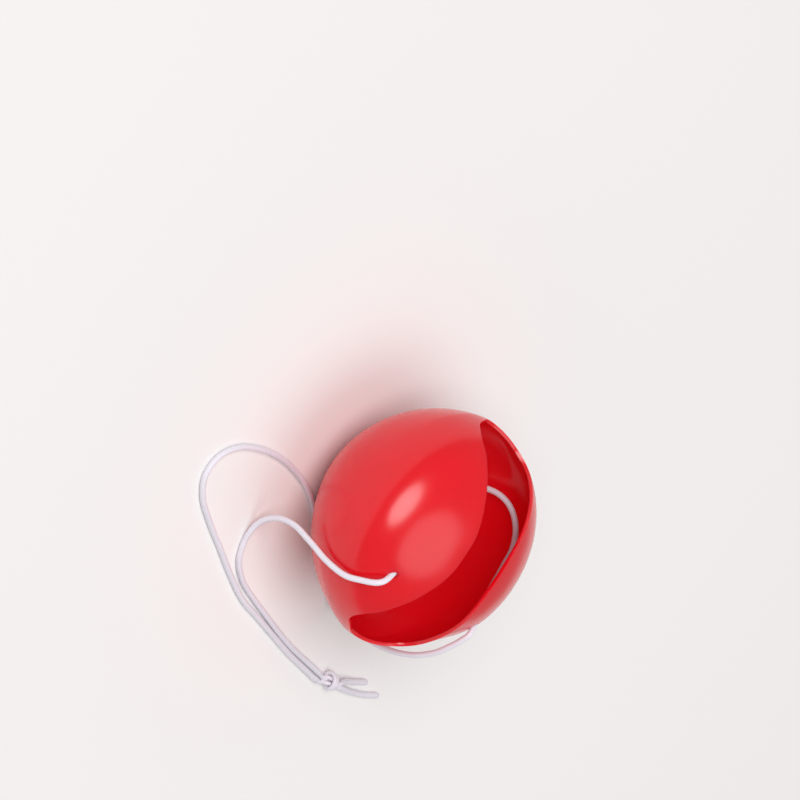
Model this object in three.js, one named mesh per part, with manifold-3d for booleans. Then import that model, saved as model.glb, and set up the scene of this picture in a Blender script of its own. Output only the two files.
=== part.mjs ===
// A clown nose: a hollow ball of thin moulded plastic, flattened at the back, with a long waisted
// opening that goes over the wearer's nose, and one white elastic through a hole in each cheek.
// Millimetres, +Z up. The nose rests on its dome with the opening up. The origin is the middle of
// the small flat that it rests on, +X is the lower end of the opening and the cheeks are at +Y and -Y.
import * as THREE from "three";
import { mergeVertices } from "three/addons/utils/BufferGeometryUtils.js";
import Module from "manifold-3d";

const wasm = await Module();
wasm.setup();

// Ball
const ballDiameter = 50;
const wall = 0.7;
const restFlatDiameter = 7;

// Back of the ball: shallow over the cheeks, fuller towards the two ends of the opening
const cheekDepth = 13;
const endStart = 4.6; // how far in front of the widest circle the back starts at the ends
const endDepth = 17.9;

// Opening in the back
const openingLength = 49.2;
const openingWidth = 19.4;
const rimHeight = 12.6; // of the rim at the waist, above the widest circle
const notchDepth = 4.6; // of the rim at the upper end, below the widest circle

// The lower end of the opening has sprung a little wider, and its notch is shallower and off the middle
const lowerNotchDepth = 2.7;
const lowerNotchShift = -1.9;
const lowerWidening = 0.16; // share of the width
const lowerShift = 0.45; // of the rest of that end, towards the far cheek
const lobeAlong = 0.8; // where the opening is widest, as a share of half its length

// Shallow presses in the side, as thin plastic takes in its bag. Spread is in radians.
const presses = [
  { depth: 0.8, spread: 0.38, towards: new THREE.Vector3(0.82, -0.34, -0.46).normalize() },
  { depth: 1.1, spread: 0.3, towards: new THREE.Vector3(0.76, 0.61, 0.2).normalize() },
  { depth: 0.7, spread: 0.4, towards: new THREE.Vector3(0.4, -0.52, -0.76).normalize() },
];

// Elastic and the two holes that it goes through. Its pull has drawn each hole out on a slant.
const elasticDiameter = 1.2;
const holeClearance = 0.4;
const drillLength = 6;
// Turn is in degrees from the lower end of the opening, tilt in degrees from straight out of the back.
const holes = [
  { turn: -57.5, tilt: 68.4, slant: new THREE.Vector3(0.788, -0.582, 0.203) },
  { turn: 59, tilt: 68, slant: new THREE.Vector3(0.85, -0.27, 0.45) },
];

// Knot
const knotDiameter = 4.0;
const knotLength = 4.2;
const knotMiddle = new THREE.Vector3(34.8, 31.3, 2.05);
const knotTurn = THREE.MathUtils.degToRad(97); // of the knot's axis from +X

// Facets
const columns = 72;
const rows = 20;
const rimSamplesPerColumn = 20;
const elasticSides = 8;
const roundSides = 16; // of the holes and the knot

const ballRadius = ballDiameter / 2;
const flatRadius = restFlatDiameter / 2;
const ballHeight = Math.sqrt(ballRadius ** 2 - flatRadius ** 2);

// One quarter of the rim, from the waist to the end of the opening. Along is a share of half the
// opening's length, across of half its width, and up of rimHeight, or of notchDepth where negative.
const rimQuarter = [
  { along: 0, across: 0.71, up: 1 },
  { along: 0.16, across: 0.71, up: 0.98 },
  { along: 0.31, across: 0.77, up: 0.91 },
  { along: 0.43, across: 0.84, up: 0.83 },
  { along: 0.51, across: 0.88, up: 0.76 },
  { along: 0.59, across: 0.93, up: 0.68 },
  { along: 0.66, across: 0.95, up: 0.57 },
  { along: 0.74, across: 0.97, up: 0.42 },
  { along: 0.82, across: 0.99, up: 0.22 },
  { along: 0.88, across: 0.92, up: 0.05 },
  { along: 0.92, across: 0.79, up: -0.23 },
  { along: 0.96, across: 0.57, up: -0.5 },
  { along: 1, across: 0, up: -1 },
];

// The elastic's routes, chosen by hand: out of a hole, over the cheek, down to the surface that the
// nose rests on, and on to the knot; and from hole to hole, along the far wall and over the bowl's floor.
const nearRoute = [
  [8.72, -15.01, 31.65], [10.29, -16.18, 32.06], [11.55, -17.11, 32.39], [12.47, -17.82, 32.4],
  [13.28, -18.47, 31.9], [13.8, -18.87, 31.11], [14.6, -19.4, 29.2], [15.6, -20.2, 26],
  [15.3, -20.9, 21], [14, -21, 15.2], [13.1, -20.9, 9.8], [13.9, -20.5, 5.4],
  [16.4, -19.8, 2.1], [20.3, -18.7, 0.7], [24.5, -16.5, 0.6], [27.6, -11.6, 0.6],
  [29.2, -6, 0.6], [30.5, 0.4, 0.6], [32, 8, 0.6], [33.1, 15, 0.6],
  [33.8, 22, 0.75], [34.25, 28.8, 1.7],
];
const farRoute = [
  [8.09, 16.9, 31.26], [9.79, 16.36, 32.16], [10.64, 16.09, 32.61], [11.53, 15.87, 32.88],
  [12.47, 15.74, 32.8], [13.35, 15.73, 32.37], [14.6, 15.8, 31.62], [16, 15.95, 30.56],
  [17.6, 16.2, 29.2], [19.1, 16.5, 27.5], [20.5, 16.8, 25.4], [21.7, 17.2, 22.9],
  [22.7, 17.7, 19.8], [23.4, 18.4, 16.2], [23.7, 19.1, 12.2], [23.6, 19.5, 8.2],
  [23.3, 19.3, 4.6], [22.6, 18.3, 2], [21.2, 16, 0.8], [18.8, 12, 0.6],
  [15.4, 6.4, 0.6], [11.6, 0.2, 0.6], [8.5, -5, 0.6], [6, -10.6, 0.6],
  [4.5, -16.8, 0.6], [3.9, -23.5, 0.6], [4.6, -30.6, 0.6], [6.8, -37.4, 0.6],
  [10.4, -41, 0.6], [14.6, -41.2, 0.6], [18.2, -38.1, 0.6], [21.3, -32.2, 0.6],
  [24.8, -23.6, 0.6], [28.2, -15.6, 0.6], [31.1, -8, 0.6], [32.7, 0, 0.6],
  [33.9, 8, 0.6], [34.9, 15.4, 0.6], [35.55, 22.6, 0.75], [35.85, 29, 1.7],
];
const insideRoute = [
  [7.81, 17.0, 31.1], [5.6, 17.9, 30], [2.8, 19.2, 28.8], [-0.2, 20.5, 27.7],
  [-3.4, 21.3, 26.8], [-6.4, 21.3, 26.4], [-9.3, 20.4, 25.6], [-11.6, 19.1, 24.3],
  [-13.2, 17.9, 22.3], [-13.8, 17, 19.4], [-13.1, 16, 15.6], [-11.3, 13.6, 10.6],
  [-8.6, 9.8, 6.2], [-4.6, 3.8, 3.2], [-0.6, -3, 2.7], [2.7, -8.6, 4.3],
  [4.6, -11.8, 7.5], [5.5, -13.4, 12], [5.9, -13.8, 18], [6.1, -13.9, 23.5],
  [6.2, -13.85, 27.2], [6.49, -13.83, 29.34], [6.87, -13.91, 30.3], [7.6, -14.26, 31.12],
  [8.48, -14.84, 31.59],
];
const shortTailRoute = [[33.77, 33.59, 1.7], [33.1, 36.4, 1.2], [32.3, 39.4, 0.8], [31.3, 42.5, 0.7]];
const longTailRoute = [
  [35.25, 33.77, 1.7], [35.1, 37, 1.1], [34.6, 40.5, 0.7], [33.6, 44.6, 0.6], [32.3, 48.5, 0.6],
];

// Materials
const redPlastic = new THREE.MeshStandardMaterial({ color: 0xe00c18, roughness: 0.16, metalness: 0 });
const whiteElastic = new THREE.MeshStandardMaterial({ color: 0xece8ee, roughness: 0.7, metalness: 0 });

// Distance of the outer skin from the ball's middle in a direction, before the resting flat is cut
function skinRadius(direction) {
  const across = Math.hypot(direction.x, direction.y);
  const up = direction.z;
  const cheek = up <= 0 ? ballRadius : 1 / Math.hypot(across / ballRadius, up / cheekDepth);
  const endRadius = Math.sqrt(ballRadius ** 2 - endStart ** 2);
  let end = ballRadius;
  if (up * endRadius > -endStart * across) {
    const square = (across / endRadius) ** 2 + (up / endDepth) ** 2;
    const linear = (up * endStart) / endDepth ** 2;
    const rest = (endStart / endDepth) ** 2 - 1;
    end = (Math.sqrt(linear ** 2 - square * rest) - linear) / square;
  }
  const endShare = across > 0 ? (direction.x / across) ** 2 : 0;
  const pressed = presses.reduce(
    (sum, { depth, spread, towards }) => sum + depth * Math.exp(-((direction.angleTo(towards) / spread) ** 2)),
    0,
  );
  return cheek + (end - cheek) * endShare - pressed;
}

function directionOf(turn, tilt) {
  return new THREE.Vector3(
    Math.sin(tilt) * Math.cos(turn),
    Math.sin(tilt) * Math.sin(turn),
    Math.cos(tilt),
  );
}

function skinPoint(direction) {
  return direction.clone().multiplyScalar(skinRadius(direction));
}

// The skin's normal is the slope of "how far outside the skin a point lies"
function skinNormal(point) {
  const reach = ballRadius / 1000;
  const outside = (axis, sign) => {
    const moved = point.clone().addScaledVector(axis, sign * reach);
    return moved.length() - skinRadius(moved.clone().normalize());
  };
  const slopes = ["x", "y", "z"].map((name) => {
    const axis = new THREE.Vector3();
    axis[name] = 1;
    return outside(axis, 1) - outside(axis, -1);
  });
  return new THREE.Vector3(...slopes).normalize();
}

// A point of the rim on one side: sideX is 1 towards the lower end, sideY is 1 towards the far cheek
function rimPoint({ along, across, up }, sideX, sideY) {
  const isLower = sideX > 0;
  const widening = isLower ? lowerWidening * Math.min(along / lobeAlong, 1) ** 2 : 0;
  const lowerEndShift = along < 1 ? lowerShift * along ** 2 : lowerNotchShift;
  const shift = isLower ? lowerEndShift : 0;
  const depth = isLower ? lowerNotchDepth : notchDepth;
  return new THREE.Vector3(
    (sideX * along * openingLength) / 2,
    (sideY * across * (1 + widening) * openingWidth) / 2 + shift,
    up * (up > 0 ? rimHeight : depth),
  );
}

// The whole rim as a closed curve, one quarter after another, from the lower end round
function rimCurve() {
  const backwards = [...rimQuarter].reverse();
  const quarter = (shares, sideX, sideY) => shares.slice(0, -1).map((share) => rimPoint(share, sideX, sideY));
  return new THREE.CatmullRomCurve3(
    [
      ...quarter(backwards, 1, 1),
      ...quarter(rimQuarter, -1, 1),
      ...quarter(backwards, -1, -1),
      ...quarter(rimQuarter, 1, -1),
    ],
    true,
    "centripetal",
  );
}

// Turn and tilt of the rim at each column of facets. The columns are spread half by their turn
// and half by their way along the rim, so that both the cheeks and the ends get enough of them.
function rimColumns() {
  const samples = rimCurve().getSpacedPoints(columns * rimSamplesPerColumn);
  const last = samples.length - 1;
  const turns = samples.map((p, i) => {
    const turn = Math.atan2(p.y, p.x);
    const hasComeRound = i > last / 2 && turn < Math.PI / 2;
    return turn < -Math.PI / 2 || hasComeRound ? turn + 2 * Math.PI : turn;
  });
  const progress = turns.map((turn, i) => (turn / (2 * Math.PI) + i / last) / 2);
  const found = [];
  for (let i = 0; found.length < columns; i += 1) {
    if (progress[i] >= found.length / columns) {
      const p = samples[i];
      found.push({ turn: turns[i], tilt: Math.atan2(Math.hypot(p.x, p.y), p.z) });
    }
  }
  return found;
}

// A lathe gives the bowl's closed net of faces; each of its points then goes to its place in the wall
function bowlGeometry() {
  const profile = Array.from({ length: 2 * rows + 2 }, (_, i) => new THREE.Vector2(rows, i));
  const geometry = new THREE.LatheGeometry(profile, columns);
  const rim = rimColumns();
  const flatTilt = Math.PI - Math.asin(flatRadius / ballRadius);
  const positions = geometry.getAttribute("position");
  for (let i = 0; i < positions.count; i += 1) {
    const column = rim[Math.floor(i / profile.length) % columns];
    const step = i % profile.length;
    const isInner = step > rows;
    const row = isInner ? profile.length - 1 - step : step;
    const share = (row - 1) / (rows - 1);
    const tilt = row === 0 ? Math.PI : flatTilt + (column.tilt - flatTilt) * share;
    const direction = row === 0 ? new THREE.Vector3(0, 0, -1) : directionOf(column.turn, tilt);
    const point = skinPoint(direction);
    if (isInner) {
      point.addScaledVector(skinNormal(point), -wall);
    }
    point.z = Math.max(point.z, -ballHeight);
    positions.setXYZ(i, point.x, point.y, point.z + ballHeight);
  }
  return geometry;
}

function toManifold(geometry) {
  const bare = geometry.clone();
  bare.deleteAttribute("normal");
  bare.deleteAttribute("uv");
  const merged = mergeVertices(bare, wall / 10000);
  const corners = merged.getIndex().array;
  const kept = [];
  for (let i = 0; i < corners.length; i += 3) {
    const [a, b, c] = corners.slice(i, i + 3);
    if (a !== b && b !== c && c !== a) {
      kept.push(a, b, c);
    }
  }
  return new wasm.Manifold(
    new wasm.Mesh({
      numProp: 3,
      vertProperties: new Float32Array(merged.getAttribute("position").array),
      triVerts: new Uint32Array(kept),
    }),
  );
}

function fromManifold(solid) {
  const { vertProperties, triVerts } = solid.getMesh();
  const geometry = new THREE.BufferGeometry();
  geometry.setAttribute("position", new THREE.BufferAttribute(vertProperties, 3));
  geometry.setIndex(new THREE.BufferAttribute(triVerts, 1));
  geometry.computeVertexNormals();
  return geometry;
}

// A drill through one cheek, along the elastic
function holeDrill({ turn, tilt, slant }) {
  const towards = directionOf(THREE.MathUtils.degToRad(turn), THREE.MathUtils.degToRad(tilt));
  const onSkin = skinPoint(towards);
  const middle = onSkin.clone().addScaledVector(skinNormal(onSkin), -wall / 2);
  const radius = elasticDiameter / 2 + holeClearance;
  const drill = new THREE.CylinderGeometry(radius, radius, drillLength, roundSides);
  const upright = new THREE.Vector3(0, 1, 0);
  drill.applyQuaternion(new THREE.Quaternion().setFromUnitVectors(upright, slant.clone().normalize()));
  drill.translate(middle.x, middle.y, middle.z + ballHeight);
  return drill;
}

function shellGeometry() {
  const bowl = toManifold(bowlGeometry());
  const drilled = holes.reduce((solid, hole) => solid.subtract(toManifold(holeDrill(hole))), bowl);
  return fromManifold(drilled);
}

function shell() {
  const mesh = new THREE.Mesh(shellGeometry(), redPlastic);
  mesh.name = "nose_shell";
  return mesh;
}

// A run of elastic has one ring of points at each point of its route
function elastic(name, route) {
  const curve = new THREE.CatmullRomCurve3(route.map((p) => new THREE.Vector3(...p)), false, "centripetal");
  curve.getUtoTmapping = (u) => u;
  const section = Array.from({ length: elasticSides }, (_, i) => {
    const angle = (2 * Math.PI * i) / elasticSides;
    return new THREE.Vector2(Math.cos(angle), Math.sin(angle)).multiplyScalar(elasticDiameter / 2);
  });
  const geometry = new THREE.ExtrudeGeometry(new THREE.Shape(section), {
    steps: route.length - 1,
    bevelEnabled: false,
    extrudePath: curve,
  });
  const mesh = new THREE.Mesh(geometry, whiteElastic);
  mesh.name = name;
  return mesh;
}

// The knot's outer form: a tight roll of turns with a slight waist
function knot() {
  const profile = [
    { radius: 0, along: -1 },
    { radius: 0.78, along: -1 },
    { radius: 0.98, along: -0.6 },
    { radius: 0.92, along: 0 },
    { radius: 1, along: 0.55 },
    { radius: 0.76, along: 1 },
    { radius: 0, along: 1 },
  ].map(({ radius, along }) => new THREE.Vector2((radius * knotDiameter) / 2, (along * knotLength) / 2));
  const mesh = new THREE.Mesh(new THREE.LatheGeometry(profile, roundSides), whiteElastic);
  mesh.name = "knot";
  mesh.position.copy(knotMiddle);
  mesh.rotation.set(0, 0, knotTurn - Math.PI / 2);
  return mesh;
}

const nose = new THREE.Group();
nose.add(
  shell(),
  elastic("elastic_near", nearRoute),
  elastic("elastic_far", farRoute),
  elastic("elastic_inside", insideRoute),
  knot(),
  elastic("tail_short", shortTailRoute),
  elastic("tail_long", longTailRoute),
);

export default nose;
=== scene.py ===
import math

import bpy
import numpy as np
from mathutils import Matrix, Vector


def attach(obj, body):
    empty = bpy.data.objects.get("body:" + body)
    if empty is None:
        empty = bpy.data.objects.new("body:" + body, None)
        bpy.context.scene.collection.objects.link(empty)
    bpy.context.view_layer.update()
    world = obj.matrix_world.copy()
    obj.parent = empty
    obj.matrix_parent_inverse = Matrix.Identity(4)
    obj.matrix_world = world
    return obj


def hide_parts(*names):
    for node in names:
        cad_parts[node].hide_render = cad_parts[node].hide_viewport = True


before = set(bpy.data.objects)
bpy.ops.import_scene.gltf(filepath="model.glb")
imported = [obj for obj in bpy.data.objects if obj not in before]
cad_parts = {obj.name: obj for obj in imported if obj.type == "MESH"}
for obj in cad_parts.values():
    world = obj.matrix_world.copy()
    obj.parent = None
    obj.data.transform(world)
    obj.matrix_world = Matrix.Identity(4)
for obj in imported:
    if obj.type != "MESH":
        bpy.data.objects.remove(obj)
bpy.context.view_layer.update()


# The view. The camera looks down on the near cheek from a third of the way up, and it is rolled,
# so that the back of the nose faces the lower right and the loose elastic lies at the left.
MM = 0.001
frame_pixels = 800
mm_per_pixel = 0.1923
ball_middle = Vector((0, 0, 24.75)) * MM
ball_pixel = (436.4, 538.1)
elevation = math.radians(34.4)
# The picture's right side points up the slope of the view and away from +X, in these shares
right_up_slope = 0.83
right_off_x = 0.557
lens_mm = 500
sensor_mm = 36
nearest_seen = 0.1

towards_camera = Vector((0, -math.cos(elevation), math.sin(elevation)))
up_slope = Vector((0, math.sin(elevation), math.cos(elevation)))
picture_right = right_up_slope * up_slope - right_off_x * Vector((1, 0, 0))
picture_right.normalize()
picture_up = towards_camera.cross(picture_right)
focal_pixels = lens_mm / sensor_mm * frame_pixels
ball_aim = Vector((ball_pixel[0] - frame_pixels / 2, frame_pixels / 2 - ball_pixel[1], -focal_pixels))
straight_axes = Matrix((picture_right, picture_up, towards_camera)).transposed()
aim_turn = (straight_axes @ ball_aim).rotation_difference(-towards_camera).to_matrix()
camera_distance = mm_per_pixel * MM * ball_aim.length

camera_data = bpy.data.cameras.new("camera")
camera_data.lens = lens_mm
camera_data.sensor_width = sensor_mm
camera_data.clip_start = nearest_seen
camera = bpy.data.objects.new("camera", camera_data)
camera.matrix_world = (aim_turn @ straight_axes).to_4x4()
camera.location = ball_middle + towards_camera * camera_distance
bpy.context.scene.collection.objects.link(camera)
bpy.context.scene.camera = camera


# Elastic. One white round elastic cord, a rubber core with a thin wound cover. It runs from the knot
# through the near hole, across the hollow, out of the far hole and back to the knot, and lies loose.
elastic_diameter = 1.2 * MM
elastic_radius = elastic_diameter / 2
elastic_sides = 20
elastic_step = 0.3 * MM
# Points in mm: out of a hole, over the cheek, down to the floor and on to the knot; and
# for the inside run from hole to hole, along the far wall and over the bottom of the bowl
near_route = [
    (8.72, -15.01, 31.65), (10.29, -16.18, 32.06), (11.55, -17.11, 32.39), (12.47, -17.82, 32.4),
    (13.28, -18.47, 31.9), (13.8, -18.87, 31.11), (14.6, -19.4, 29.2), (15.6, -20.2, 26),
    (15.3, -20.9, 21), (14, -21, 15.2), (13.1, -20.9, 9.8), (13.9, -20.5, 5.4),
    (16.4, -19.8, 2.1), (20.3, -18.7, 0.7), (24.5, -16.5, 0.6), (27.6, -11.6, 0.6),
    (29.2, -6, 0.6), (30.6, 0.4, 0.6), (32.2, 8, 0.6), (33.4, 15, 0.6),
    (34.1, 21.5, 0.62), (34.75, 27.5, 0.85),
]
far_route = [
    (8.09, 16.9, 31.26), (9.79, 16.36, 32.16), (10.64, 16.09, 32.61), (11.53, 15.87, 32.88),
    (12.47, 15.74, 32.8), (13.35, 15.73, 32.37), (14.6, 15.8, 31.62), (16, 15.95, 30.56),
    (17.6, 16.2, 29.2), (19.1, 16.5, 27.5), (20.5, 16.8, 25.4), (21.7, 17.2, 22.9),
    (22.7, 17.7, 19.8), (23.4, 18.4, 16.2), (23.7, 19.1, 12.2), (23.6, 19.5, 8.2),
    (23.3, 19.3, 4.6), (22.6, 18.3, 2), (21.2, 16, 0.8), (18.8, 12, 0.6),
    (15.4, 6.4, 0.6), (11.6, 0.2, 0.6), (8.5, -5, 0.6), (6, -10.6, 0.6),
    (4.5, -16.8, 0.6), (3.9, -23.5, 0.6), (4.6, -30.6, 0.6), (6.8, -37.4, 0.6),
    (10.4, -41, 0.6), (14.6, -41.2, 0.6), (18.2, -38.1, 0.6), (21.3, -32.2, 0.6),
    (24.8, -23.6, 0.6), (28.1, -15.6, 0.6), (30.7, -8, 0.6), (32.1, 0, 0.6),
    (33.5, 8, 0.6), (34.75, 15.4, 0.6), (35.5, 21.9, 0.62), (36.1, 27.7, 0.85),
]
inside_route = [
    (7.81, 17.0, 31.1), (5.6, 17.9, 30), (2.8, 19.2, 28.8), (-0.2, 20.5, 27.7),
    (-3.4, 21.3, 26.8), (-6.4, 21.3, 26.4), (-9.3, 20.4, 25.6), (-11.6, 19.1, 24.3),
    (-13.2, 17.9, 22.3), (-13.8, 17, 19.4), (-13.1, 16, 15.6), (-11.3, 13.6, 10.6),
    (-8.6, 9.8, 6.2), (-4.6, 3.8, 3.2), (-0.6, -3, 2.7), (2.7, -8.6, 4.3),
    (4.6, -11.8, 7.5), (5.5, -13.4, 12), (5.9, -13.8, 18), (6.1, -13.9, 23.5),
    (6.2, -13.85, 27.2), (6.49, -13.83, 29.34), (6.87, -13.91, 30.3), (7.6, -14.26, 31.12),
    (8.48, -14.84, 31.59),
]
# In the real nose the three runs are one cord, so the inside run reaches the first points of the others
inside_route = [far_route[0], *inside_route, near_route[0]]
curve_samples = 24  # between two points of a route


def distances_along(line):
    """How far along a line each of its points lies."""
    return np.concatenate([[0], np.cumsum(np.linalg.norm(np.diff(line, axis=0), axis=1))])


def smooth_line(points, step):
    """Evenly spaced points, in metres, on the centripetal Catmull-Rom curve through points in mm."""
    stops = np.array(points, float) * MM
    stops = np.vstack([2 * stops[0] - stops[1], stops, 2 * stops[-1] - stops[-2]])
    fine = []
    for a, b, c, d in zip(stops, stops[1:], stops[2:], stops[3:]):
        gap_ab, gap_bc, gap_cd = (np.linalg.norm(q - p) ** 0.5 for p, q in ((a, b), (b, c), (c, d)))
        slope_b = gap_bc * ((b - a) / gap_ab - (c - a) / (gap_ab + gap_bc)) + (c - b)
        slope_c = (c - b) + gap_bc * ((d - c) / gap_cd - (d - b) / (gap_bc + gap_cd))
        for t in np.linspace(0, 1, curve_samples, endpoint=False):
            fine.append(
                b * (2 * t**3 - 3 * t**2 + 1)
                + slope_b * (t**3 - 2 * t**2 + t)
                + c * (3 * t**2 - 2 * t**3)
                + slope_c * (t**3 - t**2)
            )
    fine = np.array([*fine, stops[-2]])
    along = distances_along(fine)
    even = np.linspace(0, along[-1], max(3, round(along[-1] / step) + 1))
    return np.column_stack([np.interp(even, along, fine[:, axis]) for axis in range(3)])


def round_cord(name, line, radii, sides):
    """A closed tube along a line. Its UV map holds mm along the cord and turns round it."""
    forward = np.gradient(line, axis=0)
    forward /= np.linalg.norm(forward, axis=1)[:, None]
    side = np.cross(forward[0], (0, 0, 1))
    turn = np.linspace(0, 2 * math.pi, sides, endpoint=False)[:, None]
    rings = []
    for middle, ahead, radius in zip(line, forward, radii):
        side = side - ahead * side.dot(ahead)
        side /= np.linalg.norm(side)
        rings.append(middle + radius * (np.cos(turn) * side + np.sin(turn) * np.cross(ahead, side)))
    last = len(line) - 1
    around = [(s, (s + 1) % sides) for s in range(sides)]
    faces = [(i * sides + a, i * sides + b, (i + 1) * sides + b, (i + 1) * sides + a)
             for i in range(last) for a, b in around]
    faces += [tuple(range(sides))[::-1], tuple(last * sides + s for s in range(sides))]
    mesh = bpy.data.meshes.new(name)
    mesh.from_pydata(np.concatenate(rings).tolist(), [], faces)
    along_mm = distances_along(line) / MM
    uv = mesh.uv_layers.new(name="cord").uv
    for face in mesh.polygons[: last * sides]:
        ring, start = divmod(face.index, sides)
        corners = ((ring, start), (ring, start + 1), (ring + 1, start + 1), (ring + 1, start))
        for loop, (i, s) in zip(face.loop_indices, corners):
            uv[loop].vector = (along_mm[i], s / sides)
    mesh.polygons.foreach_set("use_smooth", [face.loop_total == 4 for face in mesh.polygons])
    cord = bpy.data.objects.new(name, mesh)
    bpy.context.scene.collection.objects.link(cord)
    return cord


def colour(hex_value):
    """The linear RGBA of an sRGB hex value such as "DC0A1A"."""
    parts = [int(hex_value[i:i + 2], 16) / 255 for i in (0, 2, 4)]
    return (*(p / 12.92 if p <= 0.04045 else ((p + 0.055) / 1.055) ** 2.4 for p in parts), 1)


# The places of a Mix node's two colours among its inputs, and of the mixed one among its outputs
mix_a, mix_b, mixed = 6, 7, 2


def node(tree, kind, links=None, **settings):
    """Adds a node. settings are its properties, and links its inputs' values or other nodes' outputs."""
    added = tree.nodes.new(kind)
    for name, value in settings.items():
        setattr(added, name, value)
    for name, value in (links or {}).items():
        if isinstance(value, bpy.types.NodeSocket):
            tree.links.new(value, added.inputs[name])
        else:
            added.inputs[name].default_value = value
    return added


def new_material(name, values):
    """A material with its node tree and its surface, which starts from the values of its inputs."""
    material = bpy.data.materials.new(name)
    material.use_nodes = True
    surface = material.node_tree.nodes["Principled BSDF"]
    for socket, value in values.items():
        surface.inputs[socket].default_value = value
    return material, material.node_tree, surface


# White polyester-covered rubber cord. The cover's fine yarns wind round it both ways, which gives a
# soft satin white with a slight lilac cast and hardly any visible grain.
covered_elastic, tree, surface = new_material("covered_elastic", {
    "Roughness": 0.48,
    "IOR": 1.5,
    "Subsurface Weight": 0.35,
    "Subsurface Radius": (0.4, 0.38, 0.4),
    "Subsurface Scale": 0.6 * MM,
    "Sheen Weight": 0.15,
})
yarn_pitch_mm = 0.42
yarns_each_way = 4
yarn_relief = 0.03 * MM
fuzz_size = 0.222 * MM
fuzz_share = 0.8  # of the yarns' relief
cord_map = node(tree, "ShaderNodeUVMap", uv_map="cord")
cord_parts = node(tree, "ShaderNodeSeparateXYZ", {"Vector": cord_map.outputs["UV"]})
yarn_along = node(tree, "ShaderNodeMath", {0: cord_parts.outputs["X"], 1: 2 * math.pi / yarn_pitch_mm},
                  operation="MULTIPLY")
yarns = []
for way in (1, -1):
    yarn_turn = way * 2 * math.pi * yarns_each_way
    yarn_around = node(tree, "ShaderNodeMath",
                       {0: cord_parts.outputs["Y"], 1: yarn_turn, 2: yarn_along.outputs[0]},
                       operation="MULTIPLY_ADD")
    yarns.append(node(tree, "ShaderNodeMath", {0: yarn_around.outputs[0]}, operation="SINE"))
braid = node(tree, "ShaderNodeMath", {0: yarns[0].outputs[0], 1: yarns[1].outputs[0]}, operation="MAXIMUM")
place = node(tree, "ShaderNodeTexCoord").outputs["Object"]
fuzz = node(tree, "ShaderNodeTexNoise", {"Vector": place, "Scale": 1 / fuzz_size, "Detail": 2.0})
relief = node(tree, "ShaderNodeMath", {0: fuzz.outputs["Fac"], 1: fuzz_share, 2: braid.outputs[0]},
              operation="MULTIPLY_ADD")
bump = node(tree, "ShaderNodeBump", {"Strength": 0.35, "Distance": yarn_relief, "Height": relief.outputs[0]})
tree.links.new(bump.outputs["Normal"], surface.inputs["Normal"])
tint = node(tree, "ShaderNodeMapRange",
            {"Value": braid.outputs[0], "From Min": -1.0, "From Max": 1.0, "To Min": 0.0, "To Max": 1.0})
cover_colour = node(tree, "ShaderNodeMix",
                    {"Factor": tint.outputs["Result"], mix_a: colour("D6D0DD"), mix_b: colour("EBE7EF")},
                    data_type="RGBA")
tree.links.new(cover_colour.outputs[mixed], surface.inputs["Base Color"])


def elastic_piece(name, line, radii, replaced):
    """One stretch of the elastic, which stands for one of the model's nodes."""
    piece = round_cord(name, line, radii, elastic_sides)
    piece.data.materials.append(covered_elastic)
    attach(piece, "root")
    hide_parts(replaced)
    return piece


# Knot. Both ends of the elastic are tied together in one overhand knot, pulled tight, so that the
# cord is squeezed thin inside it. The two cut ends stand out of its far side as short tails.
knot_middle = np.array((34.8, 30.9, 1.55))
knot_turn = math.radians(97)
knot_squash = 0.8
squeezed_radius = 0.43 * MM
squeeze_length = 1.2 * MM
knot_along = np.array((math.cos(knot_turn), math.sin(knot_turn), 0))
knot_across = np.array((math.sin(knot_turn), -math.cos(knot_turn), 0))
knot_up = np.array((0, 0, 1))
# Each point is mm along the knot's axis, mm out from it, and degrees round it from straight down.
# Each strand goes in through the middle, once round the outside, and out through the middle.
near_strand_turns = [
    (-1.9, 0.72, 0), (-1.2, 0.62, -60), (-0.4, 0.6, -115), (0.6, 0.6, -120), (1.35, 0.7, -90),
    (1.75, 1.0, -45), (1.8, 1.25, -10), (1.6, 1.27, 30), (1.37, 1.27, 75), (1.15, 1.27, 120),
    (0.92, 1.27, 165), (0.7, 1.27, 210), (0.47, 1.27, 255), (0.25, 1.27, 300), (0.02, 1.27, 345),
    (-0.2, 1.2, 385), (-0.3, 0.9, 400), (0.1, 0.6, 405), (1.0, 0.6, 405), (1.9, 0.62, 405),
    (2.6, 0.8, 420),
]
far_strand_turns = [
    (-2.1, 1.15, 58), (-1.55, 0.8, 30), (-0.8, 0.6, -20), (0.1, 0.6, -45), (0.7, 0.75, -40),
    (0.9, 1.15, -25), (0.9, 1.5, -5), (0.65, 1.56, 30), (0.42, 1.56, 75), (0.2, 1.56, 120),
    (-0.05, 1.56, 165), (-0.3, 1.56, 210), (-0.52, 1.56, 255), (-0.75, 1.56, 300), (-0.95, 1.56, 345),
    (-1.15, 1.5, 385), (-1.3, 1.1, 410), (-1.1, 0.7, 435), (-0.6, 0.6, 470), (0.3, 0.6, 495),
    (1.3, 0.6, 495), (2.0, 0.62, 510), (2.7, 0.75, 560),
]
long_tail_route = [
    (34.85, 35.4, 1.3), (34.7, 38, 0.95), (34.35, 41.0, 0.7), (33.6, 44.6, 0.6), (32.3, 48.5, 0.6),
]
short_tail_route = [(33.5, 35.1, 1.5), (32.95, 37, 1.15), (32.3, 39.6, 0.8), (31.3, 42.5, 0.7)]


def knot_points(turns):
    """The points of a strand's turns, in mm in the object's frame."""
    points = []
    for along, out, degrees in turns:
        angle = math.radians(degrees)
        points.append(knot_middle + knot_along * along + knot_across * out * math.sin(angle)
                      - knot_up * out * math.cos(angle) * knot_squash)
    return points


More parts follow.
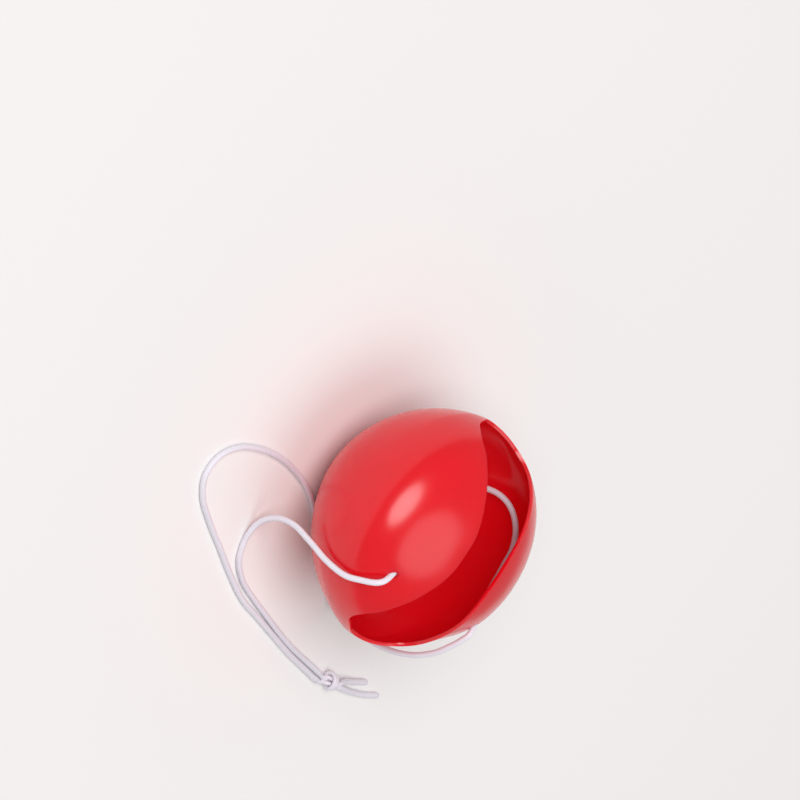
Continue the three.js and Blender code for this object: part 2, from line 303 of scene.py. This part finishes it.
def strand(run_route, turns, tail_route):
    """One end of the elastic, as the lines and radii of its run, its way through the knot and its tail."""
    line = smooth_line([*run_route, *knot_points(turns), *tail_route], elastic_step)
    line[:, 2] = np.maximum(line[:, 2], elastic_radius)
    cuts = [int(np.argmin(np.linalg.norm(line - np.array(end) * MM, axis=1)))
            for end in (run_route[-1], tail_route[0])]
    steps = np.arange(len(line))
    way_into_knot = np.minimum(steps - cuts[0], cuts[1] - steps) * elastic_step
    share = np.clip(way_into_knot / squeeze_length, 0, 1)
    eased_share = share * share * (3 - 2 * share)
    radii = elastic_radius + (squeezed_radius - elastic_radius) * eased_share
    parts = slice(0, cuts[0] + 1), slice(cuts[0], cuts[1] + 1), slice(cuts[1], None)
    return [(line[part], radii[part]) for part in parts]


# Each end is one line cut in three, so that its run, its turns in the knot and its tail meet exactly
near_parts = strand(near_route, near_strand_turns, long_tail_route)
far_parts = strand(far_route, far_strand_turns, short_tail_route)
inside_line = smooth_line(inside_route, elastic_step)
inside_radii = np.full(len(inside_line), elastic_radius)
near_run = elastic_piece("elastic_near_cord", *near_parts[0], "elastic_near")
far_run = elastic_piece("elastic_far_cord", *far_parts[0], "elastic_far")
inside_run = elastic_piece("elastic_inside_cord", inside_line, inside_radii, "elastic_inside")
near_turns = elastic_piece("knot_near_strand", *near_parts[1], "knot")
far_turns = elastic_piece("knot_far_strand", *far_parts[1], "knot")
long_tail = elastic_piece("tail_long_cord", *near_parts[2], "tail_long")
short_tail = elastic_piece("tail_short_cord", *far_parts[2], "tail_short")


# Shell. One bowl of red soft PVC, 0.7 mm thick, moulded as a hollow ball with a flattened back. A long
# waisted opening is cut in the back with rounded edges, and two small holes are punched in the cheeks.
ball_radius = 25 * MM
wall = 0.7 * MM
flat_radius = 3.5 * MM
ball_height = math.sqrt(ball_radius**2 - flat_radius**2)
# The back is shallow over the cheeks and fuller towards the two ends of the opening
cheek_depth = 13 * MM
end_start = 4.6 * MM
end_depth = 17.9 * MM
# Shallow presses in the soft wall: depth, spread in radians, and the way to the middle of each
presses = [(0.8 * MM, 0.38, (0.82, -0.34, -0.46)), (1.1 * MM, 0.3, (0.76, 0.61, 0.2)),
           (0.7 * MM, 0.4, (0.4, -0.52, -0.76))]
opening_length = 49.2 * MM
opening_width = 19.4 * MM
rim_height = 12.6 * MM
notch_depth = 4.6 * MM
# The lower end of the opening has sprung a little wider, and its notch is shallower and off the middle
lower_notch_depth = 2.7 * MM
lower_notch_shift = -1.9 * MM
lower_widening = 0.16
lower_shift = 0.45 * MM
lobe_along = 0.8
# From the waist to an end: shares of half the opening's length and width, and of rim_height or the notch
rim_quarter = [
    (0, 0.71, 1), (0.16, 0.71, 0.98), (0.31, 0.77, 0.91), (0.43, 0.84, 0.83), (0.51, 0.88, 0.76),
    (0.59, 0.93, 0.68), (0.66, 0.95, 0.57), (0.74, 0.97, 0.42), (0.82, 0.99, 0.22),
    (0.88, 0.92, 0.05), (0.92, 0.79, -0.23), (0.96, 0.57, -0.5), (1, 0, -1),
]
rim_step = 0.02 * MM
shell_columns = 360
shell_rows = 88
pole_share = 0.99999  # of the radius, above which only the ball's upper pole lies
rim_rounding = 0.2 * MM
rim_edge_angle = math.radians(50)
smooth_angle = math.radians(40)


def ways_at(turns, tilts):
    """Directions from the ball's middle, turned round it from +X and tilted from straight up."""
    return np.column_stack([np.sin(tilts) * np.cos(turns), np.sin(tilts) * np.sin(turns), np.cos(tilts)])


def turns_and_tilts(points):
    across = np.hypot(points[:, 0], points[:, 1])
    return np.arctan2(points[:, 1], points[:, 0]), np.arctan2(across, points[:, 2])


def skin_radius(ways):
    """How far the outer skin lies from the ball's middle, in each of several directions.

    The back is one ellipse over the cheeks and another, set further forward, towards the opening's ends.
    """
    smallest_across = 1e-9  # stops a division by nothing at the ball's bottom
    across = np.hypot(ways[:, 0], ways[:, 1])
    up = ways[:, 2]
    cheek = np.where(up <= 0, ball_radius, 1 / np.hypot(across / ball_radius, up / cheek_depth))
    end_radius = math.sqrt(ball_radius**2 - end_start**2)
    square = (across / end_radius) ** 2 + (up / end_depth) ** 2
    linear = up * end_start / end_depth**2
    rest = (end_start / end_depth) ** 2 - 1
    end = np.where(up * end_radius > -end_start * across,
                   (np.sqrt(linear**2 - square * rest) - linear) / square, ball_radius)
    end_share = (ways[:, 0] / np.maximum(across, smallest_across)) ** 2
    radius = cheek + (end - cheek) * end_share
    for depth, spread, towards in presses:
        off_press = np.arccos(np.clip(ways @ np.array(Vector(towards).normalized()), -1, 1))
        radius = radius - depth * np.exp(-((off_press / spread) ** 2))
    return radius


def rim_points(shares, side_x, side_y):
    """One quarter of the rim, of which side_x is 1 at the lower end and side_y 1 at the far cheek."""
    points = []
    for along, across, up in shares[:-1]:
        widening = lower_widening * min(along / lobe_along, 1) ** 2 if side_x > 0 else 0
        lower_end_shift = lower_shift * along**2 if along < 1 else lower_notch_shift
        shift = lower_end_shift if side_x > 0 else 0
        depth = lower_notch_depth if side_x > 0 else notch_depth
        points.append((side_x * along * opening_length / 2,
                       side_y * across * (1 + widening) * opening_width / 2 + shift,
                       up * (rim_height if up > 0 else depth)))
    return points


def rim_columns(count):
    """Turn and tilt of the rim at each column, spread half by turn and half by way along the rim."""
    backwards = rim_quarter[::-1]
    loop = np.array([*rim_points(backwards, 1, 1), *rim_points(rim_quarter, -1, 1),
                     *rim_points(backwards, -1, -1), *rim_points(rim_quarter, 1, -1)])
    # The loop's ends are repeated, so that the line runs past its start and can be cut there
    wrapped = np.vstack([loop[-3:], loop, loop[:4]])
    line = smooth_line(wrapped / MM, rim_step)
    starts = np.flatnonzero((line[:-1, 0] > 0) & (line[:-1, 1] < 0) & (line[1:, 1] >= 0))
    line = line[starts[0] + 1: starts[1] + 1]
    turns, tilts = turns_and_tilts(line)
    turns = np.unwrap(turns)
    progress = (turns / (2 * math.pi) + np.linspace(0, 1, len(line))) / 2
    wanted = np.arange(count) / count
    return np.interp(wanted, progress, turns), np.interp(wanted, progress, tilts)


# The ball, open at its upper pole
bpy.ops.object.select_all(action="DESELECT")
bpy.ops.mesh.primitive_uv_sphere_add(segments=shell_columns, ring_count=shell_rows, radius=ball_radius,
                                     location=(0, 0, 0))
shell = bpy.context.object
shell.name = "red_shell"
shell.data.name = "red_shell"
bpy.ops.object.mode_set(mode="EDIT")
bpy.ops.mesh.select_all(action="DESELECT")
bpy.ops.object.mode_set(mode="OBJECT")
for vertex in shell.data.vertices:
    vertex.select = vertex.co.z > ball_radius * pole_share
bpy.ops.object.mode_set(mode="EDIT")
bpy.ops.mesh.delete(type="VERT")
bpy.ops.object.mode_set(mode="OBJECT")

# Its rings are drawn down until the last one is the rim, and each point goes to the skin
turns, tilts = turns_and_tilts(np.array([v.co for v in shell.data.vertices]))
columns = np.round(turns / (2 * math.pi) * shell_columns).astype(int) % shell_columns
column_turns, column_tilts = rim_columns(shell_columns)
shares = (math.pi - tilts) / (math.pi - tilts.min())
ways = ways_at(column_turns[columns], math.pi - (math.pi - column_tilts[columns]) * shares)
places = ways * skin_radius(ways)[:, None]
places[:, 2] = np.maximum(places[:, 2], -ball_height) + ball_height
shell.data.vertices.foreach_set("co", places.astype(np.float32).ravel())
shell.data.update()

# The wall and the rounded edges
thickness = shell.modifiers.new("thickness", "SOLIDIFY")
thickness.thickness = wall
thickness.offset = -1
thickness.use_even_offset = True
bpy.ops.object.modifier_apply(modifier=thickness.name)
rounding = shell.modifiers.new("rounding", "BEVEL")
rounding.width = rim_rounding
rounding.segments = 3
rounding.limit_method = "ANGLE"
rounding.angle_limit = rim_edge_angle
bpy.ops.object.modifier_apply(modifier=rounding.name)

# The holes, each at a turn and a tilt in degrees, and drawn out on a slant by the elastic's pull
elastic_holes = [(-57.5, 68.4, (0.788, -0.582, 0.203)), (59, 68, (0.85, -0.27, 0.45))]
hole_radius = 0.72 * MM
punch_length = 6 * MM
punch_sides = 48
punch_inset = 0.52 * wall
for turn, tilt, slant in elastic_holes:
    way = ways_at(np.radians([turn]), np.radians([tilt]))
    inset = way[0] * (skin_radius(way)[0] - punch_inset)
    bpy.ops.object.select_all(action="DESELECT")
    bpy.ops.mesh.primitive_cylinder_add(vertices=punch_sides, radius=hole_radius, depth=punch_length)
    punch = bpy.context.object
    punch.rotation_mode = "QUATERNION"
    punch.rotation_quaternion = Vector(slant).to_track_quat("Z", "Y")
    punch.location = Vector(inset) + Vector((0, 0, ball_height))
    bpy.ops.object.transform_apply(location=True, rotation=True, scale=True)
    bpy.context.view_layer.objects.active = shell
    cut = shell.modifiers.new("hole", "BOOLEAN")
    cut.object = punch
    cut.operation = "DIFFERENCE"
    cut.solver = "EXACT"
    bpy.ops.object.modifier_apply(modifier=cut.name)
    bpy.data.objects.remove(punch)

bpy.ops.object.select_all(action="DESELECT")
shell.select_set(True)
bpy.context.view_layer.objects.active = shell
bpy.ops.object.shade_smooth_by_angle(angle=smooth_angle)

# Soft PVC, moulded against a polished mould. It is deep red right through and very glossy, with a
# slight unevenness that bends its reflections, and light that enters the thin wall spreads in it.
moulded_pvc, tree, surface = new_material("moulded_pvc", {
    "IOR": 1.53,
    "Subsurface Weight": 0.9,
    "Subsurface Radius": (1.0, 0.06, 0.08),
    "Subsurface Scale": 2.2 * MM,
})
# The faint clouds in the red, the slow sway of the wall and the fine peel that the mould leaves
cloud_size = 16.7 * MM
sway_size = 9.1 * MM
sway_relief = 0.4 * MM
peel_size = 0.714 * MM
peel_relief = 0.02 * MM
place = node(tree, "ShaderNodeTexCoord").outputs["Object"]
cloud = node(tree, "ShaderNodeTexNoise", {"Vector": place, "Scale": 1 / cloud_size, "Detail": 3.0})
red = node(tree, "ShaderNodeMix",
           {"Factor": cloud.outputs["Fac"], mix_a: colour("DC0A1A"), mix_b: colour("E80E20")},
           data_type="RGBA")
tree.links.new(red.outputs[mixed], surface.inputs["Base Color"])
gloss = node(tree, "ShaderNodeMapRange", {"Value": cloud.outputs["Fac"], "To Min": 0.18, "To Max": 0.25})
tree.links.new(gloss.outputs["Result"], surface.inputs["Roughness"])
sway = node(tree, "ShaderNodeTexNoise", {"Vector": place, "Scale": 1 / sway_size, "Detail": 1.0})
sway_bump = node(tree, "ShaderNodeBump",
                 {"Strength": 0.25, "Distance": sway_relief, "Height": sway.outputs["Fac"]})
peel = node(tree, "ShaderNodeTexNoise", {"Vector": place, "Scale": 1 / peel_size, "Detail": 2.0})
peel_bump = node(tree, "ShaderNodeBump",
                 {"Strength": 0.15, "Distance": peel_relief, "Height": peel.outputs["Fac"],
                  "Normal": sway_bump.outputs["Normal"]})
tree.links.new(peel_bump.outputs["Normal"], surface.inputs["Normal"])
shell.data.materials.append(moulded_pvc)
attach(shell, "root")
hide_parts("nose_shell")


# Surface and light. A plain pale floor, wide enough to fill every view, under soft and even studio
# light: a white sky, one large soft light beside the camera and a small one above the nose.
floor_colour = "F2EFEE"
floor_size = 6
sky_strength = 0.34
bpy.ops.object.select_all(action="DESELECT")
bpy.ops.mesh.primitive_plane_add(size=floor_size, location=(0, 0, 0))
floor = bpy.context.object
floor.name = "floor"
floor_paper = new_material("floor_paper", {"Base Color": colour(floor_colour), "Roughness": 0.9})[0]
floor.data.materials.append(floor_paper)

world = bpy.data.worlds.new("soft_light")
world.use_nodes = True
sky = world.node_tree.nodes["Background"]
sky.inputs["Color"].default_value = (1, 1, 1, 1)
sky.inputs["Strength"].default_value = sky_strength
bpy.context.scene.world = world
bpy.context.scene.view_settings.view_transform = "Standard"


def soft_box(name, place, size, watts):
    """An oval light that faces the origin. Place and size are in metres."""
    data = bpy.data.lights.new(name, "AREA")
    data.shape = "ELLIPSE"
    data.size, data.size_y = size
    data.energy = watts
    box = bpy.data.objects.new(name, data)
    box.location = place
    box.rotation_euler = (-Vector(place)).to_track_quat("-Z", "Y").to_euler()
    bpy.context.scene.collection.objects.link(box)


soft_box("key_light", (-0.5, -2.1, 2.1), (2.4, 1.9), 64)
soft_box("top_light", (0.15, 0.15, 1.3), (1.2, 1.0), 4.6)
